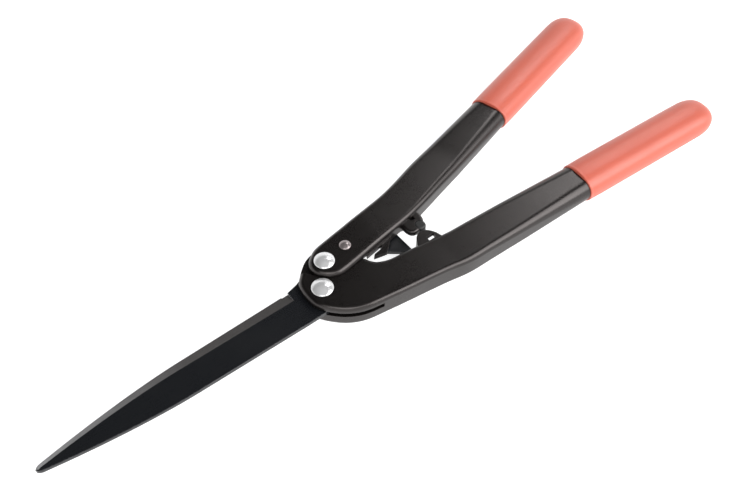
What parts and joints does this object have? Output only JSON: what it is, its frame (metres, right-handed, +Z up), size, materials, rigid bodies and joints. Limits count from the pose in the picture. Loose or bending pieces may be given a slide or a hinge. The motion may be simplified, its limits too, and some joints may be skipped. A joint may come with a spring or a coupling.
{
  "type": "hedge shears",
  "caption": "Hand hedge shears with long overlapping blades, a forked lower handle, an upper handle that drives the blade through a pin and slot, and soft grip sleeves.",
  "frame": {"origin": "centre of the resting tool's bounding box, at the level it rests on", "axes": "+X along the closed blades from their tips to the grips, +Z up through the stacked plates, with the small drive rivet's head on top"},
  "size_m": [0.5721, 0.1689, 0.0263],
  "materials": {
    "handle_nylon": "black glass-filled nylon, satin, with a fine moulded grain",
    "grip_plastic": "coral soft plastic, satin",
    "blade_steel": "black low-friction coating over steel, with a worn ground bevel",
    "rivet_steel": "bright plated steel, lightly scuffed",
    "bush_brass": "plain brass bearing surface",
    "bumper_rubber": "black moulded rubber"
  },
  "bodies": {
    "lower_side": {"lower_handle": "handle_nylon", "lower_grip": "grip_plastic", "fixed_blade": "blade_steel", "blade_pivot_rivet": "rivet_steel", "blade_pivot_collar": "rivet_steel", "blade_washer": "rivet_steel", "handle_pivot_rivet": "rivet_steel", "handle_pivot_collar": "rivet_steel", "handle_pivot_washer": "rivet_steel", "tang_pin": "rivet_steel"},
    "upper_side": {"upper_handle": "handle_nylon", "upper_grip": "grip_plastic", "handle_pivot_bush": "bush_brass", "drive_rivet": "rivet_steel", "drive_roller": "bush_brass", "drive_washer": "rivet_steel", "bumper": "bumper_rubber", "bumper_plug": "bumper_rubber"},
    "blade_side": {"moving_blade": "blade_steel", "blade_pivot_bush": "bush_brass"}
  },
  "joints": [
    {"name": "handle_swing", "type": "hinge", "parent": "lower_side", "child": "upper_side", "pos_m": [-0.0527, -0.0069, 0.012], "axis": [0, 0, 1], "range_deg": [0, 65]},
    {"name": "blade_swing", "type": "hinge", "parent": "lower_side", "child": "blade_side", "pos_m": [-0.0662, -0.0224, 0.012], "axis": [0, 0, 1], "range_deg": [0, 32.2]}
  ],
  "couplings": [
    {"joint": "blade_swing", "follows": "handle_swing", "ratio": 0.495}
  ]
}
